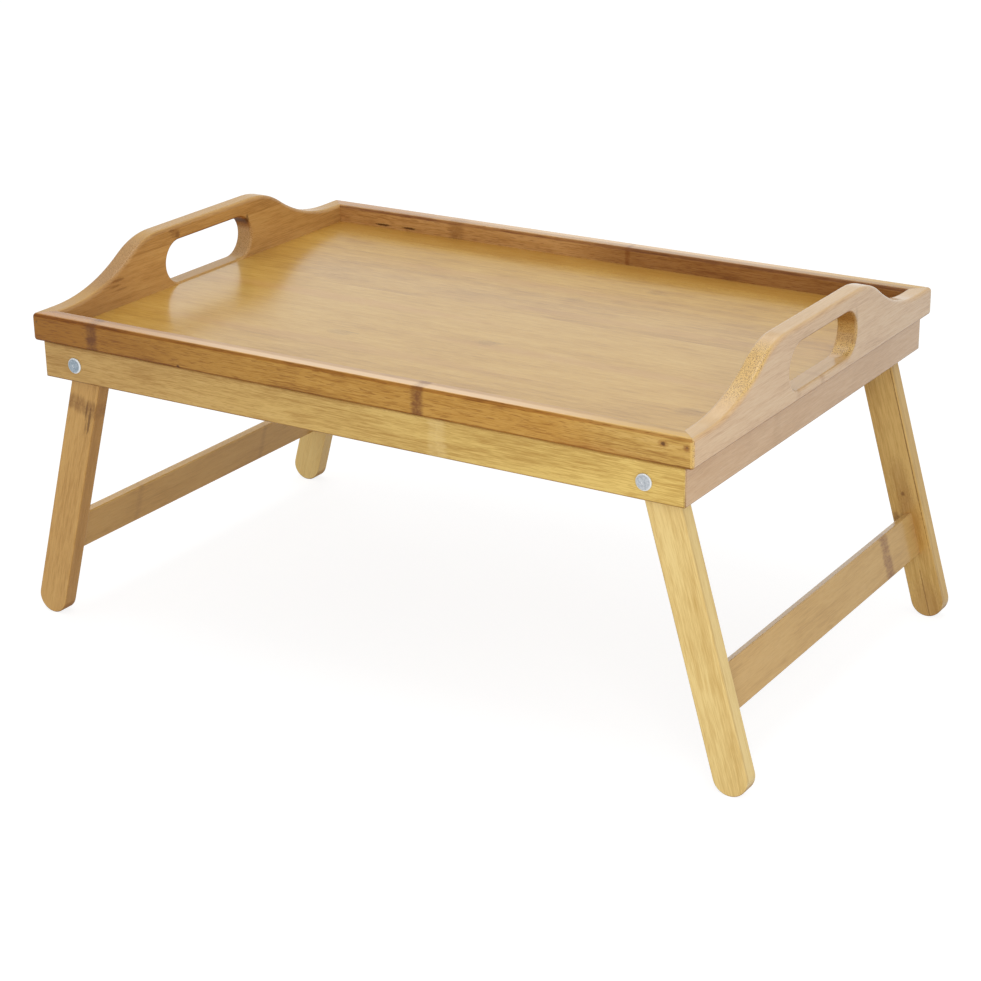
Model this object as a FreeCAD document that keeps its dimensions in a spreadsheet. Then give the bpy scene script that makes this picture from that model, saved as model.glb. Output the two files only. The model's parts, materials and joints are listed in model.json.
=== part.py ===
import FreeCAD, Part
import Sketcher

import math
import os
import re

from FreeCAD import Vector

# Folding bed tray table in laminated bamboo. Millimetres, +X along the long side, +Y to the back, +Z up.
# The origin is on the floor under the middle of the tray, with both leg frames opened against their stops.

driving = [
    # shallow tray: four mitred boards round a thin floor panel
    ("trayLength", 500),
    ("trayDepth", 350),
    ("rimTop", 230),
    ("rimBottom", 211),
    ("rimThick", 14),
    ("rimCorner", 2),
    ("rimEase", 1.2),
    ("underEase", 1.2),
    ("panelThick", 6),
    ("tongueThick", 5),
    ("rebateDeep", 4),
    # both ends rise in an S to a straight hand grip
    ("handleTop", 260),
    ("handleFlat", 107),
    ("handleRun", 100),
    ("handleHollow", 122),
    ("slotLength", 98),
    ("slotHigh", 31),
    ("slotMiddle", 233.5),
    ("slotEase", 0.9),
    # apron under the rim, set in from it all round
    ("apronLength", 487.6),
    ("apronDepth", 344),
    ("apronThick", 12),
    ("apronBottom", 185.5),
    ("apronCorner", 1.6),
    ("apronEase", 0.9),
    # leg frames: two legs and a crossbar, turning on rivets
    ("pivotReach", 216.4),
    ("pivotHigh", 197.5),
    ("splay", 15.75),
    ("legWidth", 23.5),
    ("legThick", 12),
    ("legReach", 193),
    ("legOuter", 158.4),
    ("legEase", 0.8),
    ("barMiddle", 143),
    ("barHigh", 30),
    ("barThick", 6),
    ("barRound", 1),
    ("tenonHigh", 20),
    ("tenonLong", 8),
    ("mortiseDeep", 8.5),
    # pivot rivets, spacers and backing washers
    ("shankRadius", 2.5),
    ("apronFit", 0.02),
    ("hingeFit", 0.06),
    ("headRadius", 5.5),
    ("headHigh", 2),
    ("headFlat", 3.3),
    ("headEdge", 0.7),
    ("spacerRadius", 6.5),
    ("spacerThick", 1.5),
    ("backRadius", 5),
    ("backThick", 1),
    ("sideGap", 0.05),
    ("flareRadius", 3.6),
    ("flareThick", 0.9),
    ("boreRadius", 1.5),
    ("boreDeep", 5),
    # brads through the rails into the ends of the handle boards
    ("bradRadius", 0.7),
    ("bradLong", 24),
    ("bradInset", 4.6),
    ("bradHigh", 224.5),
]

doc = FreeCAD.newDocument("BedTray")
sheet = doc.addObject("Spreadsheet::Sheet", "Dims")
for row, (alias, value) in enumerate(driving, start=1):
    sheet.set(f"A{row}", alias)
    sheet.set(f"B{row}", str(value))
    sheet.setAlias(f"B{row}", alias)
doc.recompute()
dimensionName = re.compile(r"\b(" + "|".join(alias for alias, _ in driving) + r")\b")


def formula(text):
    return dimensionName.sub(r"Dims.\1", text)


def size(text):
    found = sheet.evalExpression(formula(text))
    return float(getattr(found, "Value", found))


def bind(owner, path, text):
    owner.setExpression(path, formula(text))


def newBody(label):
    body = doc.addObject("PartDesign::Body", label)
    body.Label = label
    return body


def place(piece, x, y, z, axis=Vector(0, 0, 1), angle="0"):
    """Puts a piece at a bound position, turned about the axis by a bound angle in degrees."""
    piece.Placement = FreeCAD.Placement(Vector(), FreeCAD.Rotation(axis, size(angle)))
    for name, text in (("x", x), ("y", y), ("z", z)):
        bind(piece, f"Placement.Base.{name}", text)
    if size(angle) > 0:
        bind(piece, "Placement.Rotation.Angle", angle)


def sketchOn(body, role, offset="0"):
    plane = next(f for f in body.Origin.OriginFeatures if f.Role == role)
    sketch = body.newObject("Sketcher::SketchObject", body.Label + "_sketch")
    sketch.AttachmentSupport = [(plane, "")]
    sketch.MapMode = "FlatFace"
    bind(sketch, "AttachmentOffset.Base.z", offset)
    return sketch


def arcThrough(start, end, heading):
    """Centre, radius and turn (+1 is left) of the arc that leaves the start along the heading."""
    chord = end - start
    side = Vector(-heading.y, heading.x, 0)
    across = chord.dot(side)
    radius = chord.dot(chord) / (2 * abs(across))
    turn = 1 if across > 0 else -1
    return start + side * (radius * turn), radius, turn


def outline(sketch, steps):
    """A closed outline through bound corners, each step a piece and the corner that it ends at.

    An "arc" runs on tangent from the piece before it, and a "lead" runs tangent into the line after it.
    """
    corners = [Vector(size(x), size(y), 0) for _, x, y in steps]
    ends = []
    heading = None
    for n, (kind, _, _) in enumerate(steps):
        start, end = corners[n - 1], corners[n]
        if kind == "line":
            index = sketch.addGeometry(Part.LineSegment(start, end))
            heading = (end - start).normalize()
            ends.append((index, 1, 2))
            continue
        if kind == "lead":
            after = corners[(n + 1) % len(steps)]
            centre, radius, turn = arcThrough(end, start, (end - after).normalize())
            turn = -turn
        else:
            centre, radius, turn = arcThrough(start, end, heading)
        angles = [math.atan2(p.y - centre.y, p.x - centre.x) for p in (start, end)]
        circle = Part.Circle(centre, Vector(0, 0, 1), radius)
        index = sketch.addGeometry(Part.ArcOfCircle(circle, *angles[::turn]))
        out = (end - centre).normalize()
        heading = Vector(-out.y, out.x, 0) * turn
        ends.append((index, 1, 2) if turn > 0 else (index, 2, 1))
    for n, (kind, x, y) in enumerate(steps):
        index, first, last = ends[n]
        smooth = kind == "arc" or steps[n - 1][0] == "lead"
        meet = "Tangent" if smooth else "Coincident"
        before = ends[n - 1]
        sketch.addConstraint(Sketcher.Constraint(meet, before[0], before[2], index, first))
        hold(sketch, "DistanceX", x, index, last)
        hold(sketch, "DistanceY", y, index, last)


def hold(sketch, way, text, index, point):
    """A bound distance from the sketch's origin."""
    rule = Sketcher.Constraint(way, -1, 1, index, point, size(text))
    bind(sketch, f"Constraints[{sketch.addConstraint(rule)}]", text)


def ring(sketch, x, y, radius):
    circle = Part.Circle(Vector(size(x), size(y), 0), Vector(0, 0, 1), size(radius))
    index = sketch.addGeometry(circle)
    rule = sketch.addConstraint(Sketcher.Constraint("Radius", index, size(radius)))
    bind(sketch, f"Constraints[{rule}]", radius)
    hold(sketch, "DistanceX", x, index, 3)
    hold(sketch, "DistanceY", y, index, 3)


def box(sketch, left, bottom, right, top):
    outline(
        sketch,
        [("line", right, bottom), ("line", right, top), ("line", left, top), ("line", left, bottom)],
    )


def pad(body, sketch, length, way="One side"):
    feature = body.newObject("PartDesign::Pad", body.Label + "_pad")
    feature.Profile = sketch
    feature.SideType = way
    bind(feature, "Length", length)
    doc.recompute()


def cut(body, sketch, depth=None, back=False):
    """A pocket to the depth, or through everything both ways where no depth is given."""
    before = body.Shape.Volume
    feature = body.newObject("PartDesign::Pocket", body.Label + "_cut")
    feature.Profile = sketch
    if depth is None:
        feature.SideType = "Symmetric"
        feature.Type = "ThroughAll"
    else:
        feature.Reversed = back
        bind(feature, "Length", depth)
    doc.recompute()
    if body.Shape.Volume > before - 1:
        raise RuntimeError(f"{body.Label}: the cut removed nothing")


def edgesOf(body, chosen):
    """The last feature with its edges whose middle passes the test."""
    names = []
    for number, edge in enumerate(body.Tip.Shape.Edges, start=1):
        middle = edge.valueAt((edge.FirstParameter + edge.LastParameter) / 2)
        if chosen(middle):
            names.append(f"Edge{number}")
    if not names:
        raise RuntimeError(f"{body.Label}: no edge passes the test")
    return body.Tip, names


def eased(body, width, chosen):
    """Breaks the chosen edges with a narrow bevel."""
    base = edgesOf(body, chosen)
    feature = body.newObject("PartDesign::Chamfer", body.Label + "_ease")
    feature.Base = base
    bind(feature, "Size", width)
    doc.recompute()


def rounded(body, radius, chosen):
    base = edgesOf(body, chosen)
    feature = body.newObject("PartDesign::Fillet", body.Label + "_round")
    feature.Base = base
    bind(feature, "Radius", radius)
    doc.recompute()


def spun(label, steps):
    """A turned piece about its local Y axis."""
    body = newBody(label)
    sketch = sketchOn(body, "XY_Plane")
    outline(sketch, steps)
    feature = body.newObject("PartDesign::Revolution", label + "_turn")
    feature.Profile = sketch
    feature.ReferenceAxis = (sketch, ["V_Axis"])
    feature.Angle = 360
    doc.recompute()
    return body


def near(a, b):
    return abs(a - b) < 1e-4


# A corner of the tray is rounded over two mitred boards, so each carries half of the arc.
def cornerPoint(corner):
    return f"{corner} * (1 - sin(45 deg))"


def mitredBoard(label, half, outer, thick, corner, bottom, top):
    """A straight board along X with 45 degree ends, its outer face towards -Y."""
    body = newBody(label)
    sketch = sketchOn(body, "XY_Plane", bottom)
    tip = cornerPoint(corner)
    outline(
        sketch,
        [
            ("lead", f"-{half} + {corner}", f"-{outer}"),
            ("line", f"{half} - {corner}", f"-{outer}"),
            ("arc", f"{half} - {tip}", f"-{outer} + {tip}"),
            ("line", f"{half} - {thick}", f"-{outer} + {thick}"),
            ("line", f"-{half} + {thick}", f"-{outer} + {thick}"),
            ("line", f"-{half} + {tip}", f"-{outer} + {tip}"),
        ],
    )
    pad(body, sketch, f"{top} - {bottom}")
    return body


def rimRail(label):
    """Long rail: rebated below for the panel's tongue, bored at its ends for the brads."""
    half, outer = "trayLength / 2", "trayDepth / 2"
    body = mitredBoard(label, half, outer, "rimThick", "rimCorner", "rimBottom", "rimTop")
    outside = -size(outer) + 0.4
    inside = size(f"rimThick - {outer}")
    top, bottom = size("rimTop"), size("rimBottom")
    eased(body, "rimEase", lambda p: near(p.z, top) and (p.y < outside or near(p.y, inside)))
    eased(body, "underEase", lambda p: near(p.z, bottom) and p.y < outside)
    rebate = sketchOn(body, "XY_Plane", "rimBottom")
    reach = f"({half} - rimThick)"
    box(rebate, f"-{reach}", f"rimThick - rebateDeep - {outer}", reach, f"rimThick + 1 - {outer}")
    cut(body, rebate, "tongueThick", back=True)
    bores = sketchOn(body, "XZ_Plane")
    ring(bores, f"{half} - bradInset", "bradHigh", "bradRadius")
    ring(bores, f"bradInset - {half}", "bradHigh", "bradRadius")
    cut(body, bores)
    return body


def handleProfile(sketch):
    """Side view: level at the corners, then a hollow and a crown arc up to the grip on either side."""
    half = "trayDepth / 2"
    foot = "handleFlat / 2 + handleRun"
    turn = "2 * atan((handleTop - rimTop) / handleRun)"
    bendOut = f"({foot} - handleHollow * sin({turn}))"
    bendUp = f"rimTop + handleHollow * (1 - cos({turn}))"
    outline(
        sketch,
        [
            ("line", half, "rimBottom"),
            ("line", half, "rimTop"),
            ("line", foot, "rimTop"),
            ("arc", bendOut, bendUp),
            ("arc", "handleFlat / 2", "handleTop"),
            ("line", "-handleFlat / 2", "handleTop"),
            ("arc", f"-{bendOut}", bendUp),
            ("arc", f"-({foot})", "rimTop"),
            ("line", f"-{half}", "rimTop"),
            ("line", f"-{half}", "rimBottom"),
        ],
    )


def mitreWaste(sketch, sign):
    """What lies beyond the mitre and the rounded corner at one end of a handle board, in plan."""
    half = f"{sign} * trayDepth / 2"
    tip = cornerPoint("rimCorner")
    outline(
        sketch,
        [
            ("line", "0", f"{half} - {sign} * rimThick"),
            ("line", f"rimThick - {tip}", f"{half} - {sign} * {tip}"),
            ("lead", "rimThick", f"{half} - {sign} * rimCorner"),
            ("line", "rimThick", f"{half} - {sign} * 2 * rimCorner"),
            ("line", "rimThick + 4", f"{half} - {sign} * 2 * rimCorner"),
            ("line", "rimThick + 4", f"{half} + {sign} * 4"),
            ("line", "-4", f"{half} + {sign} * 4"),
            ("line", "-4", f"{half} - {sign} * rimThick"),
        ],
    )


def handleBoard(label):
    """End board with its inner face on local X 0: S-curved top, hand slot, mitred ends."""
    body = newBody(label)
    profile = sketchOn(body, "YZ_Plane")
    handleProfile(profile)
    pad(body, profile, "rimThick")
    waste = sketchOn(body, "XY_Plane")
    mitreWaste(waste, 1)
    mitreWaste(waste, -1)
    cut(body, waste)
    slot = sketchOn(body, "YZ_Plane")
    straight = "(slotLength - slotHigh) / 2"
    low, high = "slotMiddle - slotHigh / 2", "slotMiddle + slotHigh / 2"
    outline(
        slot,
        [
            ("line", straight, low),
            ("arc", straight, high),
            ("line", f"-{straight}", high),
            ("arc", f"-{straight}", low),
        ],
    )
    cut(body, slot)
    face = size("rimThick")
    slotEnd, slotTop, slotLow = size("slotLength / 2") + 0.1, size(high) + 0.1, size(low) - 0.1
    rimTop, rimBottom = size("rimTop") - 1e-4, size("rimBottom")

    def onSlot(p):
        return abs(p.y) < slotEnd and slotLow < p.z < slotTop and (near(p.x, face) or near(p.x, 0))

    def onTop(p):
        return p.z > rimTop and not onSlot(p) and (near(p.x, 0) or p.x > face - 0.4)

    eased(body, "slotEase", onSlot)
    eased(body, "rimEase", onTop)
    eased(body, "underEase", lambda p: near(p.z, rimBottom) and p.x > face - 0.4)
    for end, back in (("trayDepth / 2", False), ("-trayDepth / 2", True)):
        bore = sketchOn(body, "XZ_Plane", end)
        ring(bore, "rimThick - bradInset", "bradHigh", "bradRadius")
        cut(body, bore, "bradLong", back=back)
    return body


def trayPanel():
    """Floor of the tray: tongues on its long edges lie in the rail rebates, and the apron carries it."""
    body = newBody("tray_panel")
    halfX = "(trayLength / 2 - rimThick)"
    for halfY, thick in (
        ("(trayDepth / 2 - rimThick)", "panelThick"),
        ("(trayDepth / 2 - rimThick + rebateDeep)", "tongueThick"),
    ):
        sketch = sketchOn(body, "XY_Plane", "rimBottom")
        box(sketch, f"-{halfX}", f"-{halfY}", halfX, halfY)
        pad(body, sketch, thick)
    return body


def apronBoard(label, half, outer, bored):
    body = mitredBoard(label, half, outer, "apronThick", "apronCorner", "apronBottom", "rimBottom")
    outside = -size(outer) + 0.4
    inside = size(f"apronThick - {outer}")
    bottom = size("apronBottom")
    eased(body, "apronEase", lambda p: near(p.z, bottom) and (p.y < outside or near(p.y, inside)))
    if bored:
        bores = sketchOn(body, "XZ_Plane")
        ring(bores, "pivotReach", "pivotHigh", "shankRadius + apronFit")
        ring(bores, "-pivotReach", "pivotHigh", "shankRadius + apronFit")
        cut(body, bores)
    return body


def tilted(piece, side, y):
    """Hangs a leg frame piece on its pivot, splayed to its side."""
    place(piece, f"{side} * pivotReach", y, "pivotHigh", Vector(0, -side, 0), "splay")


def leg(label, side, front):
    """Leg with its pivot on the local origin, round at both ends, mortised on its inner face."""
    body = newBody(label)
    profile = sketchOn(body, "XZ_Plane")
    half = "legWidth / 2"
    outline(
        profile,
        [
            ("line", half, "0"),
            ("arc", f"-{half}", "0"),
            ("line", f"-{half}", "-legReach"),
            ("arc", half, "-legReach"),
        ],
    )
    pad(body, profile, "legThick", "Symmetric")
    reach = size("legThick / 2")
    eased(body, "legEase", lambda p: near(abs(p.y), reach))
    bore = sketchOn(body, "XZ_Plane")
    ring(bore, "0", "0", "shankRadius + hingeFit")
    cut(body, bore)
    mortise = sketchOn(body, "XZ_Plane", f"{front} * legThick / 2")
    low, high = "-barMiddle - tenonHigh / 2", "tenonHigh / 2 - barMiddle"
    box(mortise, "-barThick / 2", low, "barThick / 2", high)
    cut(body, mortise, "mortiseDeep", back=front < 0)
    tilted(body, side, f"{front} * (legOuter - legThick / 2)")
    return body


def crossbar(label, side):
    """Flat bar between the two legs, with a narrower tenon at each end."""
    body = newBody(label)
    inner = "(2 * (legOuter - legThick))"
    half = "barThick / 2"
    bar = sketchOn(body, "XZ_Plane")
    box(bar, f"-{half}", "-barMiddle - barHigh / 2", half, "barHigh / 2 - barMiddle")
    pad(body, bar, inner, "Symmetric")
    thick = size(half)
    rounded(body, "barRound", lambda p: near(p.y, 0) and near(abs(p.x), thick))
    tenon = sketchOn(body, "XZ_Plane")
    box(tenon, f"-{half}", "-barMiddle - tenonHigh / 2", half, "tenonHigh / 2 - barMiddle")
    pad(body, tenon, f"{inner} + 2 * tenonLong", "Symmetric")
    tilted(body, side, "0")
    return body


# Along a pivot, local Y 0 is the outer face of the apron and +Y runs in through the leg.
grip = "(apronDepth / 2 - legOuter + legThick + sideGap + backThick)"


def rivet(label):
    """Low bevelled head, shank, and a bored end flared over the backing washer."""
    end = f"{grip} + flareThick"
    return spun(
        label,
        [
            ("line", "0", "-headHigh"),
            ("line", "headFlat", "-headHigh"),
            ("line", "headRadius", "-headEdge"),
            ("line", "headRadius", "0"),
            ("line", "shankRadius", "0"),
            ("line", "shankRadius", grip),
            ("line", "flareRadius", grip),
            ("line", "flareRadius", end),
            ("line", "boreRadius", end),
            ("line", "boreRadius", f"{end} - boreDeep"),
            ("line", "0", f"{end} - boreDeep"),
        ],
    )


def washer(label, radius, start, thick):
    inner = "shankRadius + hingeFit"
    return spun(
        label,
        [
            ("line", radius, start),
            ("line", radius, f"{start} + {thick}"),
            ("line", inner, f"{start} + {thick}"),
            ("line", inner, start),
        ],
    )


def brads():
    """One brad at each end of both rails, driven through the mitre, flush with the rail."""
    pins = []
    for signX in (1, -1):
        for signY in (1, -1):
            pin = doc.addObject("Part::Cylinder", "brad")
            bind(pin, "Radius", "bradRadius")
            bind(pin, "Height", "bradLong")
            x, y = f"{signX} * (trayLength / 2 - bradInset)", f"{signY} * trayDepth / 2"
            place(pin, x, y, "bradHigh", Vector(signY, 0, 0), "90")
            pins.append(pin)
    group = doc.addObject("Part::Compound", "rim_brads")
    group.Label = "rim_brads"
    group.Links = pins
    return group


def main():
    pieces = [trayPanel()]
    for label, angle in (("front_rim_rail", "0"), ("back_rim_rail", "180")):
        pieces.append(rimRail(label))
        place(pieces[-1], "0", "0", "0", angle=angle)
    for label, side, angle in (("right_handle_board", 1, "0"), ("left_handle_board", -1, "180")):
        pieces.append(handleBoard(label))
        place(pieces[-1], f"{side} * (trayLength / 2 - rimThick)", "0", "0", angle=angle)
    aprons = (
        ("front_apron", "apronLength / 2", "apronDepth / 2", True, "0"),
        ("back_apron", "apronLength / 2", "apronDepth / 2", True, "180"),
        ("right_apron", "apronDepth / 2", "apronLength / 2", False, "90"),
        ("left_apron", "apronDepth / 2", "apronLength / 2", False, "270"),
    )
    for label, half, outer, bored, angle in aprons:
        pieces.append(apronBoard(label, half, outer, bored))
        place(pieces[-1], "0", "0", "0", angle=angle)
    pieces.append(brads())
    for name, side in (("right", 1), ("left", -1)):
        pieces.append(crossbar(f"{name}_crossbar", side))
        for where, front in (("front", -1), ("back", 1)):
            pieces.append(leg(f"{name}_{where}_leg", side, front))
            pivot = [
                rivet(f"{name}_{where}_rivet"),
                washer(f"{name}_{where}_spacer", "spacerRadius", "apronThick", "spacerThick"),
                washer(f"{name}_{where}_washer", "backRadius", f"{grip} - backThick", "backThick"),
            ]
            for piece in pivot:
                x, y = f"{side} * pivotReach", f"{front} * apronDepth / 2"
                place(piece, x, y, "pivotHigh", angle="0" if front < 0 else "180")
            pieces += pivot
    doc.recompute()
    for item in doc.Objects:
        if "Invalid" in item.State or "Error" in item.State:
            raise RuntimeError(f"{item.Label} failed: {item.State}")
    os.makedirs("parts", exist_ok=True)
    for piece in pieces:
        if piece.Shape.isNull() or not piece.Shape.isValid():
            raise RuntimeError(f"{piece.Label} has no valid shape")
        piece.Shape.exportStep(f"parts/{piece.Label}.step")
        print(f"{piece.Label}: {piece.Shape.Volume / 1000:.2f} cm3")


main()
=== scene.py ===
import json
import math

import bmesh
import bpy
from mathutils import Matrix, Vector


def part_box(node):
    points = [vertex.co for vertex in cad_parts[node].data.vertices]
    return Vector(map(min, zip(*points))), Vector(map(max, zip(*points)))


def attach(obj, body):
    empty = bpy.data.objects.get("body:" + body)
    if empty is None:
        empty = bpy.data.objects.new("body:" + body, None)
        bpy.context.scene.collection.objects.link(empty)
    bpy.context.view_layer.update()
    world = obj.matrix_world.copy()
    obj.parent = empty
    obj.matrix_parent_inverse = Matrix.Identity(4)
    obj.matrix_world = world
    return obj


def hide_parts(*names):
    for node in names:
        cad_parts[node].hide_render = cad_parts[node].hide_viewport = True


# Folding bed tray table in lacquered strip bamboo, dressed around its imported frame.
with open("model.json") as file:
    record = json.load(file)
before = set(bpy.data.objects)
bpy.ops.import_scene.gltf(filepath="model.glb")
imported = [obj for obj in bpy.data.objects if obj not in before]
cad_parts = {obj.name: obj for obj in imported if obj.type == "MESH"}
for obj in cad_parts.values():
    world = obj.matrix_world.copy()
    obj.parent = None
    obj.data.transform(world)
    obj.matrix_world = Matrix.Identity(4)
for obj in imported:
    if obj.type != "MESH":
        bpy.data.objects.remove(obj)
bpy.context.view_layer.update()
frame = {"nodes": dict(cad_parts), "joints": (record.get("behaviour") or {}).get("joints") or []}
nodes = frame["nodes"]
mm = 0.001
sides = {"right": 1, "left": -1}
depthWays = {"front": -1, "back": 1}
tiny = 1e-6  # vertices this close are one
sharpFrom = 0.7  # radians between two faces, from which their edge is rounded
creaseFrom = math.radians(40)  # and from which it stays an edge in the shading
print("frame loaded:", len(nodes), "nodes")


# small tools for meshes

def isVert(element):
    return isinstance(element, bmesh.types.BMVert)


def everything(bm):
    return list(bm.verts) + list(bm.edges) + list(bm.faces)


def edgesWhere(bm, test):
    # edges with both ends inside the test
    return [edge for edge in bm.edges if all(test(vert.co) for vert in edge.verts)]


def sharpOf(edges):
    return [edge for edge in edges if edge.is_manifold and edge.calc_face_angle() > sharpFrom]


def soften(bm, edges, radius, segments):
    bmesh.ops.bevel(
        bm, geom=edges, offset=radius, offset_type="OFFSET", segments=segments,
        profile=0.5, affect="EDGES", clamp_overlap=True, material=-1,
    )


def cutOff(bm, place, away):
    # clears what lies beyond the plane and closes the cut
    made = bmesh.ops.bisect_plane(
        bm, geom=everything(bm), dist=tiny, plane_co=place, plane_no=away, clear_outer=True,
    )
    rim = [part for part in made["geom_cut"] if isinstance(part, bmesh.types.BMEdge)]
    bmesh.ops.holes_fill(bm, edges=rim, sides=0)


def thicken(bm, push):
    # a flat outline becomes a closed board
    made = bmesh.ops.extrude_face_region(bm, geom=list(bm.faces))
    bmesh.ops.translate(bm, vec=push, verts=[part for part in made["geom"] if isVert(part)])
    bmesh.ops.recalc_face_normals(bm, faces=bm.faces)


def arcFrom(bm, start, centre, angle, steps):
    # swings a vertex about the centre, level with the front, and gives the new vertices in order
    fresh = []
    last = start
    for _ in range(steps):
        made = bmesh.ops.spin(
            bm, geom=[last], cent=centre, axis=(0, 1, 0), angle=angle / steps, steps=1, use_merge=False,
        )
        last = next(part for part in made["geom_last"] if isVert(part))
        fresh.append(last)
    return fresh


def piece(name, bm, body, stands, finish, facing=None):
    # a finished piece: placed in its mesh, smooth over its rounded edges, riding on its body
    if facing is not None:
        bmesh.ops.transform(bm, matrix=facing, verts=bm.verts)
    bmesh.ops.remove_doubles(bm, verts=bm.verts, dist=tiny)
    bmesh.ops.recalc_face_normals(bm, faces=bm.faces)
    for face in bm.faces:
        face.smooth = True
    mesh = bpy.data.meshes.new(name)
    bm.to_mesh(mesh)
    bm.free()
    mesh.set_sharp_from_angle(angle=creaseFrom)
    made = bpy.data.objects.new(name, mesh)
    bpy.context.scene.collection.objects.link(made)
    even = made.modifiers.new("evenShading", "WEIGHTED_NORMAL")
    even.keep_sharp = True
    even.weight = 100
    mesh.materials.append(finish)
    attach(made, body)
    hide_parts(*stands)


def dress(name, finish):
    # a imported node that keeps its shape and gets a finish
    target = nodes[name]
    if not target.material_slots:
        target.data.materials.append(finish)
    for entry in target.material_slots:
        entry.material = finish


# small tools for shader nodes

def colour(text):
    # a web colour as linear light
    parts = [int(text[n:n + 2], 16) / 255 for n in (1, 3, 5)]
    return [p / 12.92 if p <= 0.04045 else ((p + 0.055) / 1.055) ** 2.4 for p in parts] + [1]


def feed(tree, node, sockets):
    # each socket gets a link or a plain value
    for name, value in sockets.items():
        if isinstance(value, bpy.types.NodeSocket):
            tree.links.new(value, node.inputs[name])
        else:
            node.inputs[name].default_value = value


def put(tree, kind, sockets=None, **settings):
    made = tree.nodes.new(kind)
    for name, value in settings.items():
        setattr(made, name, value)
    feed(tree, made, sockets or {})
    return made


def sums(tree, operation, *values, clamp=False):
    return put(
        tree, "ShaderNodeMath", dict(enumerate(values)), operation=operation, use_clamp=clamp,
    ).outputs[0]


def times(tree, first, second):
    return sums(tree, "MULTIPLY", first, second)


def lessened(tree, value, share=1.0):
    # one less the share of a mask
    return sums(tree, "SUBTRACT", 1.0, times(tree, value, share))


def weighted(tree, given, shares):
    # adds up the outputs of a node, each by its share
    total = 0.0
    for label, share in shares.items():
        total = sums(tree, "MULTIPLY_ADD", given[label], share, total)
    return total


def centred(tree, value):
    return sums(tree, "SUBTRACT", value, 0.5)


def remap(tree, value, low, high, start=0.0, end=1.0, smooth=True):
    made = put(
        tree, "ShaderNodeMapRange",
        {"Value": value, "From Min": low, "From Max": high, "To Min": start, "To Max": end},
        interpolation_type="SMOOTHSTEP" if smooth else "LINEAR",
    )
    return made.outputs["Result"]


def blend(tree, factor, first, second, way="MIX"):
    # a colour mix has its colours at 6 and 7 and its result at 2
    sockets = {0: factor, 6: first, 7: second}
    return put(tree, "ShaderNodeMix", sockets, data_type="RGBA", blend_type=way).outputs[2]


def apart(tree, vector):
    return put(tree, "ShaderNodeSeparateXYZ", {"Vector": vector}).outputs


def placed(tree, name, sockets):
    # a shader group at work, and what it gives
    return put(tree, "ShaderNodeGroup", sockets, node_tree=bpy.data.node_groups[name]).outputs


def stretched(tree, vector, scale):
    return put(tree, "ShaderNodeVectorMath", {0: vector, 1: scale}, operation="MULTIPLY").outputs[0]


def added(tree, vector, push):
    return put(
        tree, "ShaderNodeVectorMath", {0: vector, 1: push.outputs[0]}, operation="ADD",
    ).outputs[0]


def noise(tree, vector, detail=2.0, roughness=0.5):
    made = put(
        tree, "ShaderNodeTexNoise",
        {"Vector": vector, "Scale": 1.0, "Detail": detail, "Roughness": roughness},
    )
    return made.outputs["Fac"]


def freshMaterial(name):
    made = bpy.data.materials.new(name)
    made.use_nodes = True
    return made, made.node_tree, made.node_tree.nodes["Principled BSDF"]


def inMillimetres(tree, source, **turned):
    # the object's own coordinates, counted in millimetres
    return put(
        tree, "ShaderNodeMapping",
        {"Vector": source.outputs["Object"], "Scale": (mm, mm, mm), **turned},
        vector_type="TEXTURE",
    ).outputs[0]


def seenDirectly(tree):
    # what the camera, mirrors and glass see, apart from what lights the object
    rays = put(tree, "ShaderNodeLightPath")
    seen = sums(tree, "MAXIMUM", rays.outputs["Is Camera Ray"], rays.outputs["Is Glossy Ray"])
    return sums(tree, "MAXIMUM", seen, rays.outputs["Is Transmission Ray"])


def groupTree(name, inputs, outputs):
    tree = bpy.data.node_groups.new(name, "ShaderNodeTree")
    for label, kind, *value in inputs:
        made = tree.interface.new_socket(name=label, in_out="INPUT", socket_type=kind)
        if value:
            made.default_value = value[0]
    for label, kind in outputs:
        tree.interface.new_socket(name=label, in_out="OUTPUT", socket_type=kind)
    source = tree.nodes.new("NodeGroupInput")
    sink = tree.nodes.new("NodeGroupOutput")
    return tree, source.outputs, sink.inputs


number = "NodeSocketFloat"
vectorKind = "NodeSocketVector"
colourKind = "NodeSocketColor"


# shader groups: all lengths in millimetres, X along the grain
fibrePatterns = {
    # scale along and across the grain, detail, roughness, and the range that is kept
    "Streaks": ((0.009, 0.33), 2.0, 0.55, (0.28, 0.72)),
    "Threads": ((0.07, 1.5), 2.0, 0.65, (0.3, 0.7)),
    "Flecks": ((0.12, 1.9), 1.0, 0.5, (0.57, 0.66)),
    "Clouds": ((0.016, 0.06), 3.0, 0.5, (0.3, 0.7)),
}
grain = {
    # strength of each fibre pattern in the tone and in the height
    "tone": {"Streaks": 0.24, "Threads": 0.42, "Clouds": 0.34},
    "height": {"Streaks": 0.25, "Threads": 0.4, "Flecks": -0.35},
    "stripShift": 3.0,
    "seamShade": 0.3,
    "seamHeight": -0.5,
    "seamWide": 0.22,
    "cutFrom": (0.16, 0.38),  # how far a surface crosses the grain
    "stipple": (0.38, 0.52),
    "cutShade": 0.85,
    "cutHeight": 0.8,
    "roughness": 0.46,
    "threadPolish": -0.1,
    "cutRoughness": 0.12,
    "sway": 3.0,
    "swayScale": (0.011, 0.05, 0.05),
    "stippleScale": (1.4, 1.7, 1.7),
    "seedStep": 37.0,  # millimetres between the figures of two seeds
}


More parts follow.
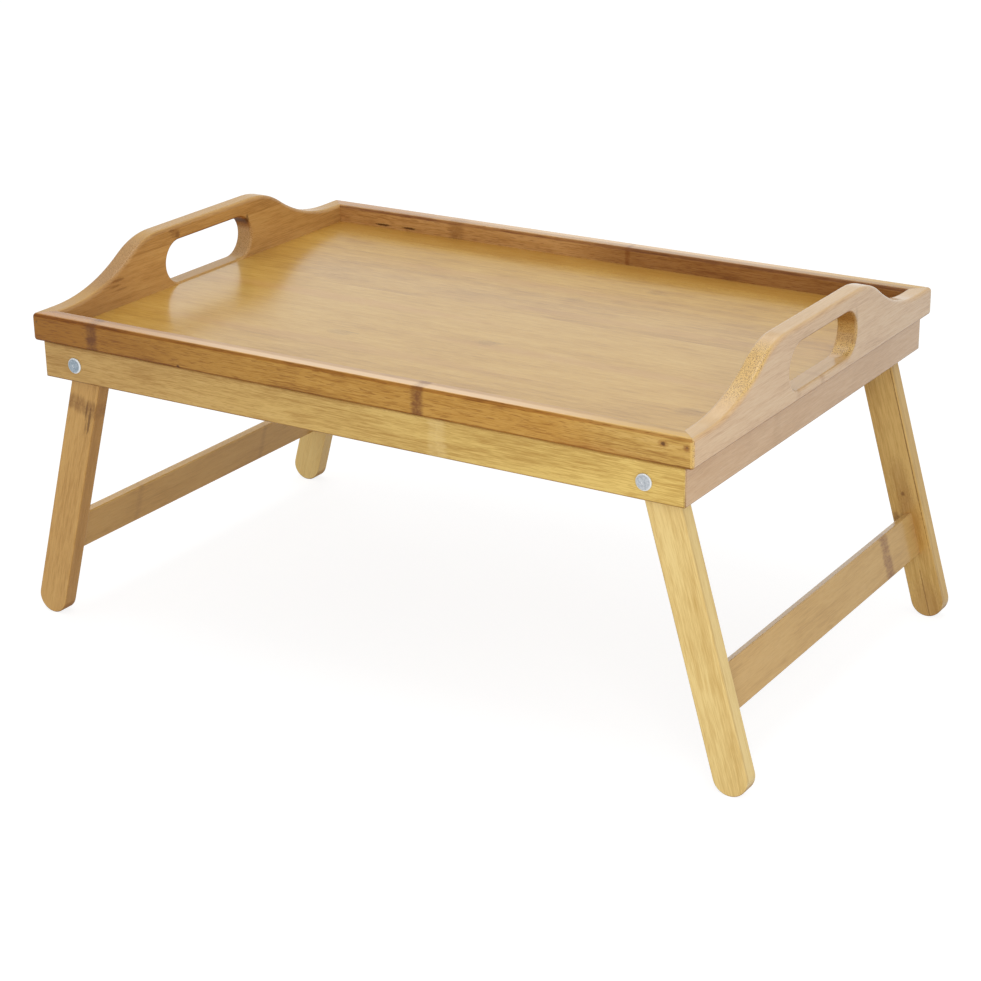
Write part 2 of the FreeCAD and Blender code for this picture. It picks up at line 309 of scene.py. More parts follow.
def strandGroup():
    # fibres: long soft streaks, fine threads and short dark flecks
    tree, given, out = groupTree(
        "bambooStrands",
        [("Vector", vectorKind), ("Seed", number)],
        [("Streaks", number), ("Threads", number), ("Flecks", number), ("Clouds", number)],
    )
    shift = put(tree, "ShaderNodeCombineXYZ", {"X": times(tree, given["Seed"], grain["seedStep"])})
    moved = added(tree, given["Vector"], shift)
    sway = noise(tree, stretched(tree, moved, grain["swayScale"]), detail=1.0)
    sway = times(tree, centred(tree, sway), grain["sway"])
    moved = added(tree, moved, put(tree, "ShaderNodeCombineXYZ", {"Y": sway, "Z": sway}))
    for label, ((along, across), detail, roughness, kept) in fibrePatterns.items():
        pattern = noise(tree, stretched(tree, moved, (along, across, across)), detail, roughness)
        tree.links.new(remap(tree, pattern, *kept), out[label])


def stripGroup():
    # glued strips: one tone each, and a fine line where two of them meet
    tree, given, out = groupTree(
        "bambooStrips",
        [
            ("Vector", vectorKind),
            ("Strip Wide", number),
            ("Strip Thick", number),
            ("Wide Offset", number),
            ("Seed", number),
        ],
        [("Chance", number), ("Line", number)],
    )
    parts = apart(tree, given["Vector"])
    wide = sums(tree, "ADD", parts["Z"], given["Wide Offset"])
    wide = sums(tree, "DIVIDE", wide, given["Strip Wide"])
    thick = sums(tree, "DIVIDE", parts["Y"], given["Strip Thick"])
    cell = put(
        tree, "ShaderNodeCombineXYZ",
        {"X": sums(tree, "FLOOR", wide), "Y": sums(tree, "FLOOR", thick), "Z": given["Seed"]},
    )
    chance = put(tree, "ShaderNodeTexWhiteNoise", {"Vector": cell.outputs[0]}, noise_dimensions="3D")
    tree.links.new(chance.outputs["Value"], out["Chance"])
    lines = []
    for across, width in ((wide, given["Strip Wide"]), (thick, given["Strip Thick"])):
        inside = sums(tree, "PINGPONG", across, 0.5)
        gap = times(tree, inside, width)
        lines.append(remap(tree, gap, 0.0, grain["seamWide"], 1.0, 0.0))
    tree.links.new(sums(tree, "MAXIMUM", *lines), out["Line"])


knuckleShape = {
    "ragged": 0.6,  # share of the band's width
    "raggedScale": (0.05, 0.55, 0.55),
    "patchScale": (0.16, 0.42, 0.42),
    "edge": (0.45, 1.15),
    "patches": (0.34, 0.6, 0.55, 1.0),
    "ridge": (0.25, 1.1),
    "fade": 0.3,
}


def knuckleGroup():
    # one knuckle of the cane: a ragged darker band across the grain, with its ridge
    tree, given, out = groupTree(
        "bambooKnuckle",
        [
            ("Vector", vectorKind),
            ("At", number),
            ("Band", number),
            ("High", number, 1000.0),
        ],
        [("Band", number), ("Ridge", number)],
    )
    parts = apart(tree, given["Vector"])
    ragged = stretched(tree, given["Vector"], knuckleShape["raggedScale"])
    ragged = noise(tree, ragged, detail=3.0, roughness=0.7)
    ragged = times(tree, centred(tree, ragged), times(tree, given["Band"], knuckleShape["ragged"]))
    along = sums(tree, "SUBTRACT", sums(tree, "SUBTRACT", parts["X"], given["At"]), ragged)
    off = sums(tree, "ABSOLUTE", along)
    half = times(tree, given["Band"], 0.5)
    band = remap(tree, sums(tree, "DIVIDE", off, half), *knuckleShape["edge"], 1.0, 0.0)
    patches = stretched(tree, given["Vector"], knuckleShape["patchScale"])
    patches = noise(tree, patches, detail=3.0, roughness=0.65)
    patches = remap(tree, patches, *knuckleShape["patches"])
    fadeEnd = sums(tree, "ADD", given["High"], knuckleShape["fade"])
    within = remap(tree, parts["Z"], given["High"], fadeEnd, 1.0, 0.0)
    band = times(tree, times(tree, band, patches), within)
    ridge = times(tree, remap(tree, off, *knuckleShape["ridge"], 1.0, 0.0), within)
    tree.links.new(band, out["Band"])
    tree.links.new(ridge, out["Ridge"])


def endGrainGroup():
    # where a surface crosses the grain, cut fibre ends show as stipple
    tree, given, out = groupTree(
        "bambooEndGrain",
        [("Vector", vectorKind), ("Normal", vectorKind), ("Grain", vectorKind)],
        [("Mask", number), ("Stipple", number)],
    )
    facing = put(
        tree, "ShaderNodeVectorMath", {0: given["Normal"], 1: given["Grain"]}, operation="DOT_PRODUCT",
    )
    mask = remap(tree, sums(tree, "ABSOLUTE", facing.outputs["Value"]), *grain["cutFrom"])
    dots = stretched(tree, given["Vector"], grain["stippleScale"])
    dots = noise(tree, dots, detail=2.0, roughness=0.7)
    tree.links.new(mask, out["Mask"])
    tree.links.new(remap(tree, dots, *grain["stipple"]), out["Stipple"])


def bambooGroup():
    # the whole surface from its parts: colour, roughness and height
    tree, given, out = groupTree(
        "bambooSurface",
        [
            ("Vector", vectorKind),
            ("Normal", vectorKind),
            ("Grain", vectorKind),
            ("Pale", colourKind),
            ("Middle", colourKind),
            ("Deep", colourKind),
            ("Cut Pale", colourKind),
            ("Cut Deep", colourKind),
            ("Figure", number),
            ("Fleck Share", number),
            ("Strip Wide", number),
            ("Strip Thick", number),
            ("Wide Offset", number),
            ("Strip Contrast", number),
            ("Seed", number),
        ],
        [("Color", colourKind), ("Roughness", number), ("Height", number), ("Ends", number)],
    )
    shared = ("Vector", "Strip Wide", "Strip Thick", "Wide Offset", "Seed")
    strips = placed(tree, "bambooStrips", {label: given[label] for label in shared})
    chance = strips["Chance"]
    seeded = sums(tree, "ADD", given["Seed"], times(tree, chance, grain["stripShift"]))
    strands = placed(tree, "bambooStrands", {"Vector": given["Vector"], "Seed": seeded})
    tone = centred(tree, weighted(tree, strands, grain["tone"]))
    tone = times(tree, tone, given["Figure"])
    tone = sums(tree, "MULTIPLY_ADD", centred(tree, chance), given["Strip Contrast"], tone)
    tone = sums(tree, "ADD", tone, 0.5, clamp=True)
    shade = blend(tree, remap(tree, tone, 0.0, 0.5, smooth=False), given["Deep"], given["Middle"])
    shade = blend(tree, remap(tree, tone, 0.5, 1.0, smooth=False), shade, given["Pale"])
    flecks = times(tree, strands["Flecks"], given["Fleck Share"])
    shade = blend(tree, flecks, shade, given["Deep"])
    seam = times(tree, strips["Line"], grain["seamShade"])
    shade = blend(tree, seam, shade, given["Deep"])
    shared = ("Vector", "Normal", "Grain")
    ends = placed(tree, "bambooEndGrain", {label: given[label] for label in shared})
    stipple = blend(tree, ends["Stipple"], given["Cut Deep"], given["Cut Pale"])
    cut = ends["Mask"]
    shade = blend(tree, times(tree, cut, grain["cutShade"]), shade, stipple)
    tree.links.new(cut, out["Ends"])
    tree.links.new(shade, out["Color"])
    rough = sums(tree, "MULTIPLY_ADD", strands["Threads"], grain["threadPolish"], grain["roughness"])
    tree.links.new(sums(tree, "MULTIPLY_ADD", cut, grain["cutRoughness"], rough), out["Roughness"])
    height = weighted(tree, strands, grain["height"])
    height = sums(tree, "MULTIPLY_ADD", strips["Line"], grain["seamHeight"], height)
    dotted = times(tree, cut, ends["Stipple"])
    height = sums(tree, "MULTIPLY_ADD", dotted, grain["cutHeight"], height)
    tree.links.new(height, out["Height"])


mark = {"ragged": 1.2, "raggedScale": (0.5, 1.1, 1.1), "edge": (0.4, 1.1)}


def markGroup():
    # one mark on a board's face with a ragged edge: a smudge, a dash or a speck; some marks are painted
    # shade or painted highlight
    tree, given, out = groupTree(
        "woodMark",
        [
            ("Vector", vectorKind),
            ("At", number),
            ("Across", number),
            ("Long", number),
            ("Wide", number),
        ],
        [("Mask", number)],
    )
    parts = apart(tree, given["Vector"])
    along = sums(tree, "SUBTRACT", parts["X"], given["At"])
    along = sums(tree, "DIVIDE", along, given["Long"])
    across = sums(tree, "SUBTRACT", parts["Z"], given["Across"])
    across = sums(tree, "DIVIDE", across, given["Wide"])
    squares = sums(tree, "MULTIPLY_ADD", along, along, times(tree, across, across))
    ragged = stretched(tree, given["Vector"], mark["raggedScale"])
    ragged = noise(tree, ragged, detail=3.0, roughness=0.6)
    spread = sums(tree, "MULTIPLY_ADD", centred(tree, ragged), mark["ragged"], sums(tree, "SQRT", squares))
    tree.links.new(remap(tree, spread, *mark["edge"], 1.0, 0.0), out["Mask"])


strandGroup()
stripGroup()
knuckleGroup()
endGrainGroup()
bambooGroup()
markGroup()
print("shader groups ready")


# bamboo finishes: every board has a look of its own, in millimetres along the grain and across it
# washes: from, to, tint; the crest washes do the same for the painted highlight on its top face;
# crestFrom: inner and outer depth of that highlight
# knuckles: place, band, strength, tint and, where it stops short, its upper end
# marks: place along, place across, half length, half width, strength, tint
bambooLook = {
    "coat": 0.45,
    "coatRoughness": 0.16,
    "coatIor": 1.5,
    "specular": 0.05,
    "bumpDistance": 0.12 * mm,
    "bump": 0.35,
    "figure": 1.0,
    "flecks": 0.5,
    "stripWide": 20.0,
    "stripThick": 7.0,
    "wideOffset": 0.0,
    "stripContrast": 0.3,
    "crest": 0.6,  # share of the painted highlight tone on faces that look up
    "crestBand": (0.6, 0.95),
    "crestLeast": 0.4,
    "crestCoat": 1.0,
    "brow": 0.0,  # painted shade on the rounding below the top face
    "browBand": (0.1, 0.4, 0.75, 0.96),
    "browShade": "#B08A5C",
    "browCoat": 0.6,
    # painted shade on faces that look down, where the coat is also thinner
    "underBand": (-0.1, -0.5),
    "underShade": "#B49068",
    "underShadeShare": 0.7,
    "underCoat": 0.15,
    "highlightOverKnuckles": 0.7,
    "ridgeShade": 0.45,
    "ridgeHeight": 0.6,
}


def turning(along, wide):
    # the turn that takes local X to the grain and local Z across the board's face
    x = Vector(along).normalized()
    z = Vector(wide).normalized()
    y = z.cross(x)
    return Matrix((x, y, z)).transposed()


def washed(tree, shade, along, washes):
    # tints that grow along the board
    for start, end, tint in washes:
        share = remap(tree, along, start, end)
        shade = blend(tree, share, shade, colour(tint), way="MULTIPLY")
    return shade


def bambooFinish(name, boardLook, along, wide, place=(0, 0, 0)):
    # place: where the board's own count of millimetres starts
    look = {**bambooLook, **boardLook}
    made, tree, shader = freshMaterial(name)
    source = put(tree, "ShaderNodeTexCoord")
    local = inMillimetres(tree, source, Location=place, Rotation=turning(along, wide).to_euler())
    surface = placed(
        tree, "bambooSurface",
        {
            "Vector": local,
            "Normal": source.outputs["Normal"],
            "Grain": Vector(along).normalized(),
            "Pale": colour(look["pale"]),
            "Middle": colour(look["middle"]),
            "Deep": colour(look["deep"]),
            "Cut Pale": colour(look.get("cutPale", look["pale"])),
            "Cut Deep": colour(look.get("cutDeep", look["deep"])),
            "Figure": look["figure"],
            "Fleck Share": look["flecks"],
            "Strip Wide": look["stripWide"],
            "Strip Thick": look["stripThick"],
            "Wide Offset": look["wideOffset"],
            "Strip Contrast": look["stripContrast"],
            "Seed": look["seed"],
        },
    )
    spread = apart(tree, local)
    upward = apart(tree, source.outputs["Normal"])["Z"]
    crest = remap(tree, upward, *look["crestBand"])
    under = remap(tree, upward, *look["underBand"])
    band = look["browBand"]
    brow = times(tree, remap(tree, upward, *band[:2]), remap(tree, upward, *band[2:], 1.0, 0.0))
    brow = times(tree, brow, look["brow"])

    shade = washed(tree, surface["Color"], spread["X"], look.get("washes", ()))
    # painted shade on the rounding below the top face
    shade = blend(tree, brow, shade, colour(look["browShade"]), way="MULTIPLY")
    # painted shade on faces that look down
    shaded = times(tree, under, look["underShadeShare"])
    shade = blend(tree, shaded, shade, colour(look["underShade"]), way="MULTIPLY")

    # painted highlight: the top face is painted paler, except where it shows cut ends
    topHighlight = times(tree, crest, lessened(tree, surface["Ends"]))
    topHighlight = times(tree, topHighlight, look["crest"])
    if "crestFrom" in look:
        outward = remap(tree, spread["Y"], *look["crestFrom"], look["crestLeast"], 1.0)
        topHighlight = times(tree, topHighlight, outward)
    crestHighlight = colour(look.get("crestHighlight", look["pale"]))
    crestHighlight = washed(tree, crestHighlight, spread["X"], look.get("crestHighlightWashes", ()))
    shade = blend(tree, topHighlight, shade, crestHighlight)

    height = surface["Height"]
    # knuckles fade under the painted highlight
    besideHighlight = lessened(tree, topHighlight, look["highlightOverKnuckles"])
    for at, broad, strength, tint, *upperEnd in look.get("knuckles", ()):
        sockets = {"Vector": local, "At": at, "Band": broad}
        if upperEnd:
            sockets["High"] = upperEnd[0]
        knuckle = placed(tree, "bambooKnuckle", sockets)
        for label, share in (("Band", strength), ("Ridge", strength * look["ridgeShade"])):
            part = times(tree, times(tree, knuckle[label], share), besideHighlight)
            shade = blend(tree, part, shade, colour(tint))
        height = sums(tree, "MULTIPLY_ADD", knuckle["Ridge"], look["ridgeHeight"], height)
    for at, across, long, wideHalf, strength, tint in look.get("marks", ()):
        sockets = {"Vector": local, "At": at, "Across": across, "Long": long, "Wide": wideHalf}
        share = times(tree, placed(tree, "woodMark", sockets)["Mask"], strength)
        shade = blend(tree, share, shade, colour(tint))

    # lacquer: fuller on the top face, thin underneath
    coat = remap(tree, crest, 0.0, 1.0, look["coat"], look["crestCoat"], smooth=False)
    coat = times(tree, coat, remap(tree, under, 0.0, 1.0, 1.0, look["underCoat"]))
    coat = times(tree, coat, lessened(tree, brow, look["browCoat"]))
    if "coatFade" in look:
        start, end, least = look["coatFade"]
        coat = times(tree, coat, remap(tree, spread["Z"], start, end, 1.0, least))
    bump = put(
        tree, "ShaderNodeBump",
        {"Height": height, "Distance": look["bumpDistance"], "Strength": look["bump"]},
    )
    feed(tree, shader, {
        "Base Color": shade,
        "Roughness": surface["Roughness"],
        "Normal": bump.outputs["Normal"],
        "Coat Weight": coat,
        "Specular IOR Level": look["specular"],
        "Coat Roughness": look["coatRoughness"],
        "Coat IOR": look["coatIor"],
    })
    return made


# rim rails: long mitred boards, rebated below for the floor panel
railLow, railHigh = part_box("front_rim_rail")
bradProud = 0.08 * mm  # how far the brad fillings stand out of the rails
rim = {
    "halfLong": railHigh.x,
    "halfDeep": -railLow.y - bradProud,
    "thick": railHigh.y - railLow.y,
    "low": railLow.z,
    "high": railHigh.z,
    "rebate": railHigh.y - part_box("tray_panel")[0].y,
    "tongue": 5 * mm,
    "cornerRound": 2.6 * mm,
    "cornerSteps": 6,
    "topRound": 2.8 * mm,
    "underRound": 2.2 * mm,
    "jointGap": 0.03 * mm,
}
rimTone = {
    "pale": "#DAB468",
    "middle": "#CAA152",
    "deep": "#9C6E2E",
    # the rails' top faces take a strong painted highlight
    "crest": 0.95,
    "crestHighlight": "#F4CE9E",
    "crestHighlightWashes": [(-40.0, -240.0, "#D0B079"), (100.0, 245.0, "#E2D27C")],
    "crestBand": (0.88, 0.985),
    "crestCoat": 0.8,
    "brow": 0.7,
    "cutPale": "#D6B068",
    "cutDeep": "#BE964E",
    "figure": 1.6,
    "flecks": 0.65,
    "stripWide": 40.0,
    "wideOffset": 10.0,
}
railLooks = {
    "front": {
        **rimTone,
        "seed": 1.0,
        "washes": [(215.0, 150.0, "#F4E2BE"), (-20.0, -250.0, "#DAC28E")],
        "crestFrom": (-165.8, -168.8),
        "knuckles": [(-197.5, 10.5, 0.95, "#74441A"), (61.0, 10.0, 0.9, "#7A481C")],
        "marks": [
            # painted highlight: a pale line down the rail's corner edge
            (250.0, 218.0, 1.5, 400.0, 0.75, "#F0D08C"),
            (230.1, 224.3, 3.8, 2.8, 0.6, "#9A6428"),
            (245.2, 224.0, 2.8, 2.4, 0.7, "#8E5A24"),
            (190.0, 213.0, 42.0, 4.0, 0.35, "#A86C28"),
            (230.1, 224.3, 1.9, 1.4, 0.9, "#5A3413"),
            (-124.8, 212.6, 1.7, 1.4, 0.95, "#5A3413"),
        ],
    },
    "back": {
        **rimTone,
        "pale": "#D8AA6C",
        "middle": "#C89858",
        "deep": "#9E6C3E",
        "seed": 2.0,
        "washes": [(-45.0, 30.0, "#D0C2B4")],
        "crestFrom": (165.8, 168.8),
        "knuckles": [(20.0, 5.0, 0.6, "#80491B"), (-128.0, 16.0, 0.4, "#7E4E22")],
        "marks": [
            (-195.0, 219.3, 8.5, 1.1, 0.9, "#4A2A10"),
            (-170.5, 219.5, 8.0, 1.0, 0.9, "#4A2A10"),
        ],
    },
}


def easeCorners(bm, half, outer, radius):
    # bends the outer face round the standing corner, level curve by level curve, up to the mitre
    for way in (1, -1):
        for step in range(rim["cornerSteps"] + 1):
            cutAt = (way * (half - radius * step / rim["cornerSteps"]), 0, 0)
            bmesh.ops.bisect_plane(
                bm, geom=everything(bm), dist=tiny, plane_co=cutAt, plane_no=(1, 0, 0),
            )
    for vert in bm.verts:
        depth = vert.co.y - outer
        reach = radius - depth
        along = half - abs(vert.co.x) - depth
        if reach > tiny and -10 * tiny < along < reach:
            angle = math.pi / 4 * (1 - max(along, 0) / reach)
            vert.co.y = outer + radius - reach * math.cos(angle)
            vert.co.x = math.copysign(half - radius + reach * math.sin(angle), vert.co.x)


def roundBottom(bm, half, outer, radius):
    def outside(p):
        return abs(p.x) > half - tiny or p.y < outer + tiny

    under = edgesWhere(bm, lambda p: p.z < rim["low"] + tiny and outside(p))
    soften(bm, sharpOf(under), radius, 4)


def mitreEnds(bm, half, deep, gap):
    # cuts both ends at 45 degrees, inwards from the outer face at -deep
    for way in (1, -1):
        cutOff(bm, (way * (half - gap), -deep, 0), Vector((way, 1, 0)).normalized())


def railMesh():
    # section pulled along the board, outer face towards -Y
    bm = bmesh.new()
    outer, inner = -rim["halfDeep"], rim["thick"] - rim["halfDeep"]
    step = rim["low"] + rim["tongue"]
    section = [
        (outer, rim["low"]), (outer, rim["high"]), (inner, rim["high"]), (inner, step),
        (inner - rim["rebate"], step), (inner - rim["rebate"], rim["low"]),
    ]
    bm.faces.new([bm.verts.new((-rim["halfLong"], y, z)) for y, z in section])
    thicken(bm, (2 * rim["halfLong"], 0, 0))
    soften(bm, sharpOf(edgesWhere(bm, lambda p: p.z > rim["high"] - tiny)), rim["topRound"], 6)
    roundBottom(bm, rim["halfLong"], outer, rim["underRound"])
    mitreEnds(bm, rim["halfLong"], rim["halfDeep"], rim["jointGap"])
    easeCorners(bm, rim["halfLong"], outer, rim["cornerRound"])
    return bm


for where, angle in (("front", 0), ("back", math.pi)):
    finish = bambooFinish(f"{where}RailBamboo", railLooks[where], (1, 0, 0), (0, 0, 1))
    piece(
        f"{where}Rail", railMesh(), "tray", [f"{where}_rim_rail"], finish,
        Matrix.Rotation(angle, 4, "Z"),
    )
print("rim rails made")


# handle boards: S-curved top and hand slot
handle = {
    "top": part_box("right_handle_board")[1].z,
    "halfFlat": 53.5 * mm,
    "run": 100 * mm,
    "hollow": 122 * mm,
    "slotHalf": 49 * mm,
    "slotHigh": 31 * mm,
    "slotMiddle": 233.5 * mm,
    "slotRound": 1.9 * mm,
    "hollowSteps": 14,
    "crownSteps": 10,
    "slotSteps": 20,
}
handleTone = {
    "stripWide": 25.0,
    "wideOffset": 2.0,
    "stripContrast": 0.2,
    "figure": 0.7,
    "flecks": 0.2,
}
handleLooks = {
    "right": {
        **handleTone,
        "pale": "#E0BF92",
        "middle": "#D6AF80",
        "deep": "#B88C5C",
        "cutPale": "#E2BC70",
        "cutDeep": "#8A5C26",
        "crestHighlight": "#D8B06E",
        "seed": 3.0,
        "coat": 1.0,
        "figure": 1.0,
        # painted shade inside the far end of the hand slot
        "marks": [(47.5, 236.0, 3.4, 14.0, 0.5, "#94652A")],
        "knuckles": [(-1.0, 7.0, 0.4, "#B08048", 226.0), (-35.0, 8.0, 0.25, "#B08048", 220.0)],
    },
    "left": {
        **handleTone,
        "pale": "#D6AC6A",
        "middle": "#C89959",
        "deep": "#9C6E36",
        "cutPale": "#CBA068",
        "cutDeep": "#A47844",
        "crestHighlight": "#CC9E4C",
        "crestCoat": 0.55,
        "seed": 4.0,
        "washes": [(-50.0, -125.0, "#ECE9F0")],
        "marks": [
            # painted shade at the top of the hand slot's far end
            (44.3, 243.0, 2.8, 7.0, 0.8, "#5E4028"),
            (-38.0, 254.0, 6.5, 4.4, 0.4, "#7A4A20"),
            (-35.5, 252.6, 3.0, 2.8, 0.5, "#6E421C"),
            (-42.0, 257.0, 4.0, 1.2, 0.5, "#6E421C"),
            (-102.0, 236.0, 9.0, 1.4, 0.6, "#7A4A1E"),
            (-105.0, 232.5, 7.0, 1.0, 0.5, "#7A4A1E"),
            (-99.0, 229.0, 8.0, 1.0, 0.4, "#7A4A1E"),
        ],
    },
}


def handleMesh():
    # half of the side view from its arcs, mirrored, thickened and rounded; long way on X
    bm = bmesh.new()
    outer = -rim["halfLong"]
    half = rim["halfDeep"]
    foot = handle["halfFlat"] + handle["run"]
    rise = handle["top"] - rim["high"]
    turn = 2 * math.atan(rise / handle["run"])
    crown = (handle["run"] ** 2 + rise ** 2) / (2 * rise) - handle["hollow"]
    straight = handle["slotHalf"] - handle["slotHigh"] / 2
    slotLow = handle["slotMiddle"] - handle["slotHigh"] / 2
    slotHigh = handle["slotMiddle"] + handle["slotHigh"] / 2

    def point(x, z):
        return bm.verts.new((x, outer, z))

    hollowCentre = (foot, outer, rim["high"] + handle["hollow"])
    crownCentre = (handle["halfFlat"], outer, handle["top"] - crown)
    slotCentre = (straight, outer, handle["slotMiddle"])
    rising = [point(0, rim["low"]), point(half, rim["low"]), point(half, rim["high"])]
    rising.append(point(foot, rim["high"]))
    rising += arcFrom(bm, rising[-1], hollowCentre, turn, handle["hollowSteps"])
    rising += arcFrom(bm, rising[-1], crownCentre, -turn, handle["crownSteps"])
    rising += [point(0, handle["top"]), point(0, slotHigh), point(straight, slotHigh)]
    rising += arcFrom(bm, rising[-1], slotCentre, math.pi, handle["slotSteps"])
    rising.append(point(0, slotLow))
    bm.faces.new(rising)
    bmesh.ops.mirror(bm, geom=everything(bm), axis="X", merge_dist=tiny)
    bmesh.ops.remove_doubles(bm, verts=bm.verts, dist=tiny)
    bmesh.ops.recalc_face_normals(bm, faces=bm.faces)
    thicken(bm, (0, rim["thick"], 0))

    def onSlot(p):
        near = 0.1 * mm
        return abs(p.x) < handle["slotHalf"] + near and slotLow - near < p.z < slotHigh + near

    tops = edgesWhere(bm, lambda p: p.z > rim["high"] - tiny and not onSlot(p))
    soften(bm, sharpOf(tops), rim["topRound"], 6)
    soften(bm, sharpOf(edgesWhere(bm, onSlot)), handle["slotRound"], 5)
    roundBottom(bm, half, outer, rim["underRound"])
    mitreEnds(bm, half, rim["halfLong"], rim["jointGap"])
    easeCorners(bm, half, outer, rim["cornerRound"])
    return bm


for side, sign in sides.items():
    finish = bambooFinish(f"{side}HandleBamboo", handleLooks[side], (0, 1, 0), (0, 0, 1))
    piece(
        f"{side}Handle", handleMesh(), "tray", [f"{side}_handle_board"], finish,
        Matrix.Rotation(sign * math.pi / 2, 4, "Z"),
    )
print("handle boards made")


# apron boards under the rim
apronLow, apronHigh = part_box("front_apron")
apron = {
    "halfLong": apronHigh.x,
    "halfDeep": -apronLow.y,
    "thick": apronHigh.y - apronLow.y,
    "low": apronLow.z,
    "high": apronHigh.z,
    "cornerRound": 1.6 * mm,
    "underRound": 1.5 * mm,
}
apronTone = {
    "pale": "#E8C978",
    "middle": "#E0BF6C",
    "deep": "#BC9448",
    "joint": "#946428",  # painted shade line under the rim's overhang
    "stripWide": 26.0,
    "wideOffset": 19.0,
}
apronLooks = {
    "front": {
        **apronTone,
        "seed": 5.0,
        "washes": [(240.0, -240.0, "#F0E2ED")],
        "knuckles": [(73.0, 15.0, 0.5, "#E6C886")],
        # painted highlight: a pale line down the apron's corner edge
        "marks": [(243.8, 198.0, 1.3, 400.0, 0.75, "#F4DC9C")],
    },
    "back": {**apronTone, "seed": 6.0, "knuckles": [(-60.0, 8.0, 0.5, "#A06C2C")]},
    "right": {
        **apronTone,
        "pale": "#D5AE7F",
        "middle": "#C69A65",
        "deep": "#A57944",
        "joint": "#8A6440",
        "seed": 7.0,
        "coat": 1.0,
        "figure": 0.7,
        "flecks": 0.2,
        "knuckles": [(-52.0, 12.0, 0.3, "#B4884E")],
    },
    "left": {**apronTone, "seed": 8.0, "knuckles": [(44.0, 8.0, 0.5, "#A06C2C")]},
}


def apronMesh(half, deep):
    bm = bmesh.new()
    inner = apron["thick"] - deep
    low, high = apron["low"], apron["high"]
    section = [(-deep, low), (-deep, high), (inner, high), (inner, low)]
    bm.faces.new([bm.verts.new((-half, y, z)) for y, z in section])
    thicken(bm, (2 * half, 0, 0))
    corners = edgesWhere(bm, lambda p: abs(p.x) > half - tiny and p.y < tiny - deep)
    soften(bm, corners, apron["cornerRound"], 5)
    soften(bm, sharpOf(edgesWhere(bm, lambda p: p.z < low + tiny)), apron["underRound"], 4)
    mitreEnds(bm, half, deep, rim["jointGap"])
    return bm


apronPlaces = (
    ("front", apron["halfLong"], apron["halfDeep"], 0, (1, 0, 0)),
    ("right", apron["halfDeep"], apron["halfLong"], 1, (0, 1, 0)),
    ("back", apron["halfLong"], apron["halfDeep"], 2, (1, 0, 0)),
    ("left", apron["halfDeep"], apron["halfLong"], 3, (0, 1, 0)),
)
for where, half, deep, quarter, along in apronPlaces:
    look = {**apronLooks[where]}
    # every apron gets a painted shade line under the rim
    rimShadeLine = (0.0, apron["high"] / mm, 2000.0, 2.0, 0.4, look["joint"])
    look["marks"] = look.get("marks", []) + [rimShadeLine]
    finish = bambooFinish(f"{where}ApronBamboo", look, along, (0, 0, 1))
    piece(
        f"{where}Apron", apronMesh(half, deep), "tray", [f"{where}_apron"], finish,
        Matrix.Rotation(quarter * math.pi / 2, 4, "Z"),
    )
print("aprons made")


# floor panel: wide strips under a glossier lacquer
panelLook = {
    "pale": "#D9B05A",
    "middle": "#CDA048",
    "deep": "#B38438",
    "seed": 11.0,
    "stripWide": 58.0,
    "stripThick": 9.0,
    "wideOffset": 20.0,
    "stripContrast": 0.35,
    "figure": 1.1,
    "flecks": 0.3,
    "bump": 0.1,
    "crest": 0.0,
    "coatRoughness": 0.2,
    "crestCoat": 0.93,
    "coatFade": (-40.0, -110.0, 0.6),
    "marks": [
        (-60.0, 96.0, 190.0, 9.0, 0.4, "#C8964E"),
        (120.0, 52.0, 170.0, 8.0, 0.35, "#C49050"),
        (-120.0, 8.0, 150.0, 9.0, 0.4, "#C8924E"),
        (90.0, -34.0, 180.0, 7.0, 0.35, "#C8964E"),
        (-30.0, -84.0, 160.0, 8.0, 0.3, "#C49050"),
        # painted reflection of the back rail's inner face, in a band along it
        (0.0, -163.0, 2000.0, 36.0, 0.6, "#B07C36"),
        (30.0, 46.0, 10.0, 6.0, 0.36, "#94682E"),
        (36.0, 43.0, 7.0, 0.8, 0.4, "#7A5220"),
        (72.0, -109.0, 9.0, 6.0, 0.3, "#94682E"),
        (78.0, -106.0, 8.0, 0.8, 0.4, "#7A5220"),
        (208.0, 101.0, 11.0, 8.0, 0.36, "#94682E"),
        (214.0, 98.0, 8.0, 0.9, 0.4, "#7A5220"),
        (31.0, -67.0, 9.0, 6.0, 0.3, "#94682E"),
        (-68.0, 74.0, 12.0, 6.0, 0.3, "#94682E"),
        (-60.0, 71.0, 9.0, 0.8, 0.4, "#7A5220"),
    ],
}
dress("tray_panel", bambooFinish("panelBamboo", panelLook, (1, 0, 0), (0, -1, 0)))
print("panel finished")


# leg frames: round-ended legs and a flat crossbar
pivots = {joint["child"]: Vector(joint["pos_m"]) for joint in frame["joints"]}
splay = math.radians(frame["joints"][0]["range_deg"][1] - 90)
legLow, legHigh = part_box("right_front_leg")
leg = {
    "width": 23.5 * mm,
    "inner": -legHigh.y,
    "outer": -legLow.y,
    "round": 0.9 * mm,
    "endSteps": 20,
}
leg["reach"] = (pivots["right_leg_frame"].z - leg["width"] / 2) / math.cos(splay)
bar = {
    "middle": 143 * mm,
    "high": 30 * mm,
    "thick": 6 * mm,
    "round": 1.0 * mm,
}
legStrips = {"stripWide": 24.0, "wideOffset": 12.0, "stripThick": 6.0, "flecks": 0.2, "figure": 0.7}
legTone = {"pale": "#F0D694", "middle": "#EACD88", "deep": "#CAA45C", **legStrips}
brownLegTone = {"pale": "#E2B870", "middle": "#DAAA63", "deep": "#B07E3C", **legStrips}
